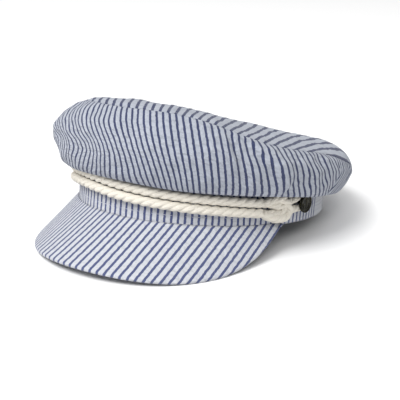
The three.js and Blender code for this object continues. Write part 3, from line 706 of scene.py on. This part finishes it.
def crown_side(name, start, end, stripes):
    """A side panel of the crown, from one side seam to the other."""
    half_gap = math.degrees(GAP / 2 / (HALF_WIDTH + OVERHANG))
    angle = np.linspace(start + half_gap, end - half_gap, int((end - start) * 2) + 1)
    along = np.linspace(0, 1, 91)
    smooth = smooth_side(angle, along)
    normal = normals(smooth_side, angle, along)
    depth = fold_depth(FOLDS, angle, along) + fold_depth(CREASES, angle, along)
    per_degree = math.radians(HALF_WIDTH + OVERHANG)
    side_distance = np.minimum(angle - start, end - angle)[:, None] * per_degree
    rows = length_of(np.diff(smooth, axis=1))[..., 0]
    to_ridge = np.concatenate([np.cumsum(rows[:, ::-1], 1)[:, ::-1], np.zeros((len(angle), 1))], 1)
    around = np.radians(angle)[:, None] * (HALF_LENGTH + HALF_WIDTH) / 2
    visible = np.clip((along - LIP_ALONG) / LIP_FADE, 0, 1)
    depth += visible * uneven(around, to_ridge) + gathers(around, to_ridge)
    depth = depth * (1 - np.exp(-((to_ridge / SEAM_CALM) ** 2)))
    depth -= seam_groove(side_distance) + seam_groove(to_ridge)
    outer = smooth + normal * depth[..., None]
    inwards, to_top = ridge_mitre(angle)
    # the last rows turn towards the mitre plane
    outer[:, -1] = smooth[:, -1] - to_top * GAP / 2 - normal[:, -1] * SEAM_SINK
    inner = outer - normal * CLOTH
    inner[:, -1] = smooth[:, -1] - to_top * GAP / 2 + inwards
    uv = np.stack([stripe_coordinate(stripes, angle, along, to_ridge), to_ridge], -1)
    return wall_piece(name, outer, inner, uv, seersucker_with_painted_shade)


def stripe_coordinate(stripes, angle, along, to_ridge):
    """Length across the stripes of a side panel, from how they stand on the ridge and drift below it."""
    to_lip = np.array([np.interp(LIP_ALONG, along, row) for row in to_ridge])[:, None]
    depth = to_ridge / to_lip
    marks = [mark for mark, _ in STRIPE_DEPTHS]
    slopes = np.stack([column(stripes, name, angle) for _, name in STRIPE_DEPTHS], -1)
    slope = np.array([np.interp(d, marks, k) for d, k in zip(depth, slopes)])
    steps = (slope[:, 1:] + slope[:, :-1]) / 2 * (to_ridge[:, :-1] - to_ridge[:, 1:])
    drift = np.concatenate([np.cumsum(steps[:, ::-1], 1)[:, ::-1], np.zeros((len(angle), 1))], 1)
    turn = np.arange(stripes["angle"][0] - 60, stripes["angle"][-1] + 61)
    way = steps_to(ridge_seam(turn))
    count = np.concatenate([[0], np.cumsum(np.diff(way) / column(stripes, "spacing", turn[1:] - 0.5))])
    return STRIPE_PITCH * np.interp(np.interp(angle, turn, way)[:, None] - drift, way, count)


def crown_top():
    """The top panel of the crown, with its stripes turned and drawn round to the left."""
    angle = AROUND
    share = np.concatenate([np.linspace(0, 0.9, 50), np.linspace(0.9, 1, 14)[1:]])
    smooth = top_surface(angle, share)
    normal = -normals(top_surface, angle, share)
    normal[:, 0] = (0, 0, 1)
    radius = length_of(smooth[:, -1] - smooth[:, 0])
    to_seam = radius * (1 - share[None])
    around = np.radians(angle)[:, None] * (HALF_LENGTH + HALF_WIDTH) / 2
    depth = uneven(smooth[..., 0], smooth[..., 1]) + gathers(around + 3, to_seam)
    depth = depth * (1 - np.exp(-((to_seam / SEAM_CALM) ** 2))) - seam_groove(to_seam)
    outer = smooth + normal * depth[..., None]
    inwards, to_top = ridge_mitre(angle)
    outer[:, -1] = smooth[:, -1] + to_top * GAP / 2 - normal[:, -1] * SEAM_SINK
    inner = outer - normal * CLOTH
    inner[:, -1] = smooth[:, -1] + to_top * GAP / 2 + inwards
    turn = math.radians(TOP_GRAIN)
    x, y = smooth[..., 0], smooth[..., 1]
    left = past(x, TOP_LEFT_FROM, TOP_PULL_EASE)
    # the pull on the cloth ends towards the back
    pulled = y - past(y, TOP_BACK_FROM, TOP_PULL_EASE)
    behind = past(pulled, TOP_TURNED_FROM, TOP_TURNED_EASE)
    across = TOP_EASE * (x * math.cos(turn) + y * math.sin(turn)) - TOP_TURNED * behind**2
    across += left * (TOP_TAKEN_IN * left - TOP_DRAWN * (pulled - TOP_DRAWN_FROM))
    uv = np.stack([across, y * math.cos(turn) - x * math.sin(turn)], -1)
    return wall_piece("crown_top_cloth", outer, inner, np.concatenate([uv, uv[:1]]), seersucker_with_painted_shade, ring=True)


crown_front_cloth = crown_side("crown_front_cloth", -SIDE_SEAM, SIDE_SEAM, FRONT_STRIPES)
crown_back_cloth = crown_side("crown_back_cloth", SIDE_SEAM, 360 - SIDE_SEAM, BACK_STRIPES)
crown_top_cloth = crown_top()


# Band


def band_piece():
    """The band, with whole stripes round it and none behind its plain angle."""
    angle = AROUND
    height = np.linspace(-BAND_LAP, BAND_HEIGHT, 26)
    outer = place(angle[:, None], 0.0, height[None])
    inner = place(angle[:, None], -CLOTH, height[None])
    around = steps_to(place(np.append(angle, 360.0), 0, 0))
    whole = round(around[-1] / STRIPE_PITCH) * STRIPE_PITCH
    across = around * whole / around[-1]
    closed = np.append(angle, 360.0)
    plain = (closed > BAND_PLAIN) & (closed < 360 - BAND_PLAIN)
    across = np.where(plain, STRIPE_PITCH * np.round(across[np.argmax(plain)] / STRIPE_PITCH), across)
    uv = np.stack(np.broadcast_arrays(across[:, None], height[None]), -1)
    return wall_piece("band_cloth", outer, inner, uv, stretched, ring=True)


band_cloth = band_piece()


def band_stitching():
    """The stitched line that holds the peak: short threads laid on the band, half sunk in it."""
    fine = np.arange(-PEAK_SWEEP, PEAK_SWEEP, 0.05)
    run = steps_to(place(fine, 0, STITCH_HEIGHT))
    along = np.linspace(0, 1, 6)
    thick = STITCH_THREAD / 2 * np.sqrt(np.clip(1 - (2 * along - 1) ** 2, 0.04, 1))
    up = np.broadcast_to([0, 0, 1.0], (len(along), 3))
    tubes = []
    for start in np.arange(0, run[-1] - STITCH_LENGTH, STITCH_LENGTH + STITCH_SPACE):
        angle = np.interp(start + along * STITCH_LENGTH, run, fine)
        rings = rings_round(place(angle, STITCH_LIFT, STITCH_HEIGHT), up, outward(angle), thick, 8)
        tubes.append((rings, 2 * math.pi * thick, along * STITCH_LENGTH))
    return tube_piece("band_stitching", tubes, thread)


band_stitches = band_stitching()


# Peak


def peak_rule(t):
    """The rule at a share of the peak's sweep: angle on the band, direction and length."""
    angle = t * PEAK_SWEEP
    heading = np.radians(PEAK_TURN * angle)
    slope = np.radians(PEAK_SLOPE + (PEAK_SLOPE_ENDS - PEAK_SLOPE) * t * t)
    reach = PEAK_REACH * (1 - np.abs(t) ** PEAK_FALL) ** PEAK_FALL_ROUND
    along = np.stack([np.sin(heading) * np.cos(slope), -np.cos(heading) * np.cos(slope), -np.sin(slope)], -1)
    return angle, along, np.maximum(reach, PEAK_END_WIDTH) - PEAK_BOARD / 2


def peak_tip(t):
    angle, along, length = peak_rule(t)
    return place(angle, GAP, 0) + along * length[:, None]


def unrolled(root, edge):
    """A ruled strip laid out flat: the same lengths along both sides, the rules and the diagonals."""
    flat_root, flat_edge = np.zeros((len(root), 2)), np.zeros((len(root), 2))
    middle = len(root) // 2
    flat_edge[middle] = (0, -np.linalg.norm(edge[middle] - root[middle]))
    for way in (1, -1):
        i = middle
        while 0 <= i + way < len(root):
            n = i + way
            from_root, from_edge = root[n] - root[i], root[n] - edge[i]
            flat_root[n] = third_corner(flat_root[i], flat_edge[i], from_root, from_edge, way)
            from_root, from_edge = edge[n] - root[n], edge[n] - edge[i]
            flat_edge[n] = third_corner(flat_root[n], flat_edge[i], from_root, from_edge, way)
            i = n
    return flat_root, flat_edge


def third_corner(a, b, from_a, from_b, way):
    """The corner of a flat triangle on the way side of the line from a to b."""
    length, ra, rb = np.linalg.norm(b - a), np.linalg.norm(from_a), np.linalg.norm(from_b)
    x = (ra**2 - rb**2 + length**2) / (2 * length)
    y = math.sqrt(max(ra**2 - x**2, 0))
    forward = (b - a) / length
    side = np.array([-forward[1], forward[0]]) * way
    return a + forward * x + side * y


PEAK_GRAIN = -2.5  # turn of the peak's stripes from fore-aft
PEAK_DRAWN = 0.0045  # how much they turn more towards the wearer's right
PEAK_DRAWN_FROM = 20.0  # side place, on the flat peak, where that begins
PEAK_DRAWN_EASE = 15.0
PEAK_ROWS = 31  # rows of points from root to edge


def peak_piece():
    steps = 360
    t = np.sin(np.linspace(-1, 1, steps + 1) * math.pi / 2) * PEAK_TRIM
    angle, along, length = peak_rule(t)
    root = place(angle, GAP, 0)
    blunt = np.abs(t) > PEAK_BLUNT
    across = peak_tip(np.clip(t + 0.01, -1, 1)) - peak_tip(np.clip(t - 0.01, -1, 1))
    across[blunt] = (place(angle + 1, GAP, 0) - place(angle - 1, GAP, 0))[blunt]
    up = unit(np.cross(across, along))
    up *= np.where(up[:, 2:] < 0, -1, 1)
    radius = PEAK_BOARD / 2
    edge = root + along * length[:, None]
    root_under = root - np.array([0, 0, PEAK_BOARD * PEAK_ROOT_CUT])
    flat_root, flat_edge = unrolled(root, edge)
    rows, flats = [], []
    top_edge, under_edge = edge + up * radius, edge - up * radius
    for share in np.linspace(0, 1, PEAK_ROWS):
        rows.append(root + (top_edge - root) * share)
        flats.append(flat_root + (flat_edge - flat_root) * share)
    beyond = unit(flat_edge - flat_root)
    for turn in np.radians(np.arange(15, 180, 15)):
        rows.append(edge + up * radius * math.cos(turn) + along * radius * math.sin(turn))
        flats.append(flat_edge + beyond * radius * turn)
    for share in np.linspace(1, 0, PEAK_ROWS):
        rows.append(root_under + (under_edge - root_under) * share)
        flats.append(flat_root + (flat_edge - flat_root) * share + beyond * radius * math.pi * share)
    points = np.stack(rows, 1)
    flat = np.stack(flats, 1)
    turn = math.radians(PEAK_GRAIN)
    drawn = -past(-flat[..., 0], -PEAK_DRAWN_FROM, PEAK_DRAWN_EASE) * PEAK_DRAWN * flat[..., 1]
    across_flat = flat[..., 0] * math.cos(turn) + flat[..., 1] * math.sin(turn) + drawn
    uv = np.stack([across_flat, flat[..., 1]], -1)
    columns, count = points.shape[:2]
    # the section is a closed loop, so its rows go round as well
    i, j = np.meshgrid(np.arange(columns - 1), np.arange(count), indexing="ij")
    i, j = i.ravel(), j.ravel()
    n = (j + 1) % count
    faces = np.stack([i * count + j, i * count + n, (i + 1) * count + n, (i + 1) * count + j], -1)
    first, last = np.arange(count), (columns - 1) * count + np.arange(count)
    all_faces = [tuple(f) for f in faces] + [tuple(first[::-1]), tuple(last)]
    uv_index = np.concatenate([faces.ravel(), first[::-1], last])
    return mesh_piece("peak_cloth", points.reshape(-1, 3), all_faces, stretched, uv.reshape(-1, 2), uv_index)


peak_cloth = peak_piece()


# Rope

STRAND = 0.6  # radius of a strand as a share of the rope's, soft strands pressed into each other


def strands(centre, out, radius, lay):
    """The three strands of a twisted rope along a line, as tubes."""
    forward = unit(np.gradient(centre, axis=0))
    side = unit(np.cross(out, forward))
    across = np.cross(forward, side)
    run = steps_to(centre)
    tubes = []
    for k in range(3):
        a = (2 * math.pi * run / lay + 2 * math.pi * k / 3)[:, None]
        middle = centre + (side * np.sin(a) + across * np.cos(a)) * (radius * (1 - STRAND))[:, None]
        ahead = unit(np.gradient(middle, axis=0))
        strand_side = unit(np.cross(across, ahead))
        rings = rings_round(middle, strand_side, np.cross(ahead, strand_side), radius * STRAND, 14)
        tubes.append((rings, 2 * math.pi * radius * STRAND, run))
    return tubes


def rope_piece(name, routes):
    """Twisted rope along some routes of centres, outward ways, radii and lay."""
    return tube_piece(name, [tube for route in routes for tube in strands(*route)], rope_cotton)


def knot_angle(way):
    a = math.radians(KNOT_ANGLE)
    per_degree = math.radians(math.hypot(HALF_WIDTH * math.cos(a), HALF_LENGTH * math.sin(a)))
    return KNOT_ANGLE + way / per_degree


def rope_run(name, level):
    end = knot_angle(-KNOT_LENGTH / 2 - 2 * GAP)
    angle = np.linspace(-end, end, 420)
    line = BAND_HEIGHT * column(ROPE_LINE, "height", angle)
    centre = place(angle, ROPE / 2 + GAP, line + level * (ROPE + GAP) / 2)
    return rope_piece(name, [(centre, outward(angle), np.full(len(angle), ROPE / 2), ROPE_LAY)])


rope_upper_cotton = rope_run("rope_upper_cotton", 1)
rope_lower_cotton = rope_run("rope_lower_cotton", -1)

KNOT_MIDDLE = BAND_HEIGHT * float(column(ROPE_LINE, "height", KNOT_ANGLE))
SHANK_WAY = (BUTTON_ANGLE - KNOT_ANGLE) / (knot_angle(1) - KNOT_ANGLE)


def smooth_route(stops, step=0.5):
    """A smooth line through stops, at even steps."""
    stops = np.array(stops, float)
    fine = along_points(stops[None], np.linspace(0, 1, 60 * len(stops))[None])[0]
    run = steps_to(fine)
    even = np.linspace(0, run[-1], max(int(run[-1] / step), 2) + 1)
    return [np.interp(even, run, column_of) for column_of in fine.T]


def knot(name, side):
    """The rope's knot: a turn laid over both runs, the ends of the runs inside it, and the loop
    round the button's shank. A stop is a way along the band, a height, a radius and a lift."""
    half_length = (KNOT_LENGTH - ROPE) / 2
    half_height = (KNOT_HEIGHT - ROPE) / 2
    loop_radius = SHANK_DIAMETER / 2 + GAP + LOOP_ROPE / 2
    full, half = ROPE / 2, LOOP_ROPE / 2
    middle = KNOT_MIDDLE
    upper, lower = middle + (ROPE + GAP) / 2, middle - (ROPE + GAP) / 2
    start = -KNOT_LENGTH / 2
    turn = [
        (start, upper, full, 0.0),
        (-0.75 * half_length, middle + 0.72 * half_height, full, 0.5),
        (-0.35 * half_length, middle + 0.9 * half_height, full, 1.0),
        (0.2 * half_length, middle + 0.92 * half_height, full, 1.1),
        (0.8 * half_length, middle + 0.52 * half_height, full, 1.0),
        (1.15 * half_length, middle - 0.15 * half_height, full, 0.6),
        (1.0 * half_length, middle - 0.8 * half_height, full, 0.9),
        (0.45 * half_length, middle - 1.02 * half_height, full, 1.1),
        (-0.2 * half_length, middle - 1.0 * half_height, full, 0.9),
        (-0.75 * half_length, middle - 0.8 * half_height, full, 0.5),
        (start, lower, full, 0.0),
    ]
    upper_end = [
        (0.7 * start, upper, 0.8 * full, 0.0),
        (-0.3 * half_length, middle + 0.3 * half_height, 0.9 * full, 0.2),
        (0.2 * half_length, middle + 0.2 * half_height, 0.9 * full, 0.3),
        (0.9 * half_length, middle + 0.1 * half_height, 0.8 * full, 0.0),
    ]
    lower_end = [
        (0.7 * start, lower, 0.8 * full, 0.0),
        (-0.2 * half_length, middle - 0.55 * half_height, 0.9 * full, 0.3),
        (0.35 * half_length, middle - 0.55 * half_height, 0.85 * full, 0.6),
        (0.6 * half_length, middle - 0.25 * half_height, 0.8 * full, 1.2),
        (0.58 * half_length, middle + 0.25 * half_height, 0.75 * full, 0.8),
    ]
    neck = 1.1 * half_length + 0.5 * (SHANK_WAY - 1.1 * half_length)
    loop = [
        (0.8 * half_length, middle + 0.5 * half_height, full, 0.0),
        (neck, BUTTON_HEIGHT + 0.9 * loop_radius, 0.8 * full, 0.2),
        (SHANK_WAY, BUTTON_HEIGHT + loop_radius, half, 0.0),
        (SHANK_WAY + loop_radius, BUTTON_HEIGHT, half, 0.0),
        (SHANK_WAY, BUTTON_HEIGHT - loop_radius, half, 0.0),
        (neck, BUTTON_HEIGHT - 0.9 * loop_radius, 0.8 * full, 0.2),
        (0.8 * half_length, middle - 0.5 * half_height, full, 0.0),
    ]
    routes = []
    for stops in (turn, upper_end, lower_end, loop):
        way, height, radius, lift = smooth_route(stops)
        angle = side * knot_angle(way)
        routes.append((place(angle, radius + GAP + lift, height), outward(angle), radius, side * ROPE_LAY))
    return rope_piece(name, routes)


knot_left_cotton = knot("knot_left_cotton", 1)
knot_right_cotton = knot("knot_right_cotton", -1)

# Side buttons

BUTTON_FACETS = 144
BEAD_HEIGHT = 0.11
ANCHOR_SIZE = 0.62  # as a share of the button's radius


def button(name, side):
    """A shank, a plate with a beaded rim, and a plain anchor in relief."""
    radius, thick = BUTTON_DIAMETER / 2, BUTTON_THICKNESS
    under = LOOP_ROPE + 2 * GAP
    field = under + 0.75 * thick
    angle = side * BUTTON_ANGLE
    out, up = outward(np.array(angle)), np.array([0, 0, 1.0])
    right = np.cross(up, out)
    at = lambda x, y, z: place(angle, GAP, BUTTON_HEIGHT) + right * x + up * y + out * z
    # the plate is turned about its axis; each step is a share of the radius and of the thickness
    steps = [(0.2, 0), (0.84, 0), (0.96, 0.1), (1, 0.3), (1, 0.6), (0.98, 0.82), (0.94, 0.95), (0.9, 1)]
    steps += [(0.86, 0.96), (0.83, 0.84), (0.8, 0.76), (0.5, 0.8), (0.05, 0.82)]
    shank = SHANK_DIAMETER / 2
    radii = np.array([shank, shank] + [r * radius for r, _ in steps])
    heights = np.array([0, under] + [under + z * thick for _, z in steps])
    centres = np.array([at(0, 0, z) for z in heights])
    everywhere = lambda v: np.broadcast_to(v, centres.shape)
    plate = rings_round(centres, everywhere(right), everywhere(up), radii, BUTTON_FACETS)
    on_rim = (radii > 0.85 * radius) & (heights > field)
    beads = BEAD_HEIGHT * np.cos(np.arange(BUTTON_FACETS) * math.pi / 2) * on_rim[:, None]
    plate = plate + out * beads[..., None]
    tubes = [(plate, 2 * math.pi * radii, heights)]
    size = ANCHOR_SIZE * radius
    ring = np.radians(np.arange(-80, 281, 30))
    arms = [(-0.86, -0.1), (-0.78, -0.5), (-0.45, -0.85), (0, -1), (0.45, -0.85), (0.78, -0.5), (0.86, -0.1)]
    bars = [
        ([(0, 0.75), (0, 0), (0, -1)], 0.12),
        ([(-0.5, 0.5), (0, 0.5), (0.5, 0.5)], 0.1),
        (arms, 0.12),
        ([(-1.02, -0.32), (-0.88, -0.04), (-0.64, -0.2)], 0.1),
        ([(1.02, -0.32), (0.88, -0.04), (0.64, -0.2)], 0.1),
        ([(0.16 * math.cos(a), 0.9 + 0.16 * math.sin(a)) for a in ring], 0.06),
    ]
    for stops, girth in bars:
        x, y = np.array(smooth_route(stops, 0.08)) * size
        line = np.array([at(a, b, field) for a, b in zip(x, y)])
        forward = unit(np.gradient(line, axis=0))
        outwards = np.broadcast_to(out, line.shape)
        bar_radius = np.full(len(line), girth * size)
        rings = rings_round(line, np.cross(outwards, forward), outwards, bar_radius, 10)
        tubes.append((rings, np.full(len(line), girth), steps_to(line)))
    return tube_piece(name, tubes, brass)


button_left_brass = button("button_left_brass", 1)
button_right_brass = button("button_right_brass", -1)

stands_for = {
    "crown_front": crown_front_cloth,
    "crown_back": crown_back_cloth,
    "crown_top": crown_top_cloth,
    "band": band_cloth,
    "peak": peak_cloth,
    "rope_upper": rope_upper_cotton,
    "rope_lower": rope_lower_cotton,
    "knot_left": knot_left_cotton,
    "knot_right": knot_right_cotton,
    "button_left": button_left_brass,
    "button_right": button_right_brass,
}
for node, piece in stands_for.items():
    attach(piece, "root")
    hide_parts(node)

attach(band_stitches, "root")


# Floor, light and camera


def floor():
    material, tree, shader = new_material("pale_floor")
    shader.inputs["Base Color"].default_value = linear("#f2f2f2")
    shader.inputs["Roughness"].default_value = 0.8
    mesh = bpy.data.meshes.new("floor")
    half = 6.0
    corners = [(-half, -half, 0), (half, -half, 0), (half, half, 0), (-half, half, 0)]
    mesh.from_pydata(corners, [], [(0, 1, 2, 3)])
    mesh.materials.append(material)
    obj = bpy.data.objects.new("floor", mesh)
    bpy.context.scene.collection.objects.link(obj)


def soft_light(name, place_at, size, watts, aim=(0, 0, 0.05)):
    light = bpy.data.lights.new(name, "AREA")
    light.size = size
    light.energy = watts
    obj = bpy.data.objects.new(name, light)
    obj.location = place_at
    obj.rotation_euler = (Vector(aim) - Vector(place_at)).to_track_quat("-Z", "Y").to_euler()
    bpy.context.scene.collection.objects.link(obj)


floor()
soft_light("window", (-0.35, -2.4, 3.1), 2.0, 150)
soft_light("fill", (1.9, -2.9, 2.9), 1.5, 44)

world = bpy.data.worlds.new("studio")
world.use_nodes = True
background = world.node_tree.nodes["Background"]
background.inputs["Color"].default_value = linear("#ffffff")
# the studio is lit from above: its ceiling is brighter than its walls
sky_way = add(world.node_tree, "TexCoord").outputs["Generated"]
sky_height = add(world.node_tree, "SeparateXYZ", {0: sky_way}).outputs[2]
sky = add(world.node_tree, "MapRange", {0: sky_height}, in1=0.0, in2=1.0, in3=0.4, in4=0.8)
world.node_tree.links.new(sky.outputs[0], background.inputs["Strength"])
bpy.context.scene.world = world
bpy.context.scene.view_settings.view_transform = "Standard"

# The camera was fitted to the band and the peak as they stand in the photo
CAMERA_AZIMUTH = 34.453
CAMERA_ELEVATION = 18.197
CAMERA_ROLL = 0.161
CAMERA_DISTANCE = 0.69994
CAMERA_AIM = (-0.003597, 0.011185, 0.011923)
CAMERA_LENS = 84.645

azimuth, elevation = math.radians(CAMERA_AZIMUTH), math.radians(CAMERA_ELEVATION)
back = Vector(
    (math.sin(azimuth) * math.cos(elevation), -math.cos(azimuth) * math.cos(elevation), math.sin(elevation))
)
camera = bpy.data.objects.new("camera", bpy.data.cameras.new("camera"))
camera.data.lens = CAMERA_LENS
camera.data.sensor_width = 36.0
camera.data.clip_start = 0.05
camera.data.clip_end = 50.0
level = back.to_track_quat("Z", "Y").to_matrix().to_4x4()
camera.matrix_world = (
    Matrix.Translation(Vector(CAMERA_AIM) + back * CAMERA_DISTANCE)
    @ level
    @ Matrix.Rotation(math.radians(CAMERA_ROLL), 4, "Z")
)
bpy.context.scene.collection.objects.link(camera)
bpy.context.scene.camera = camera
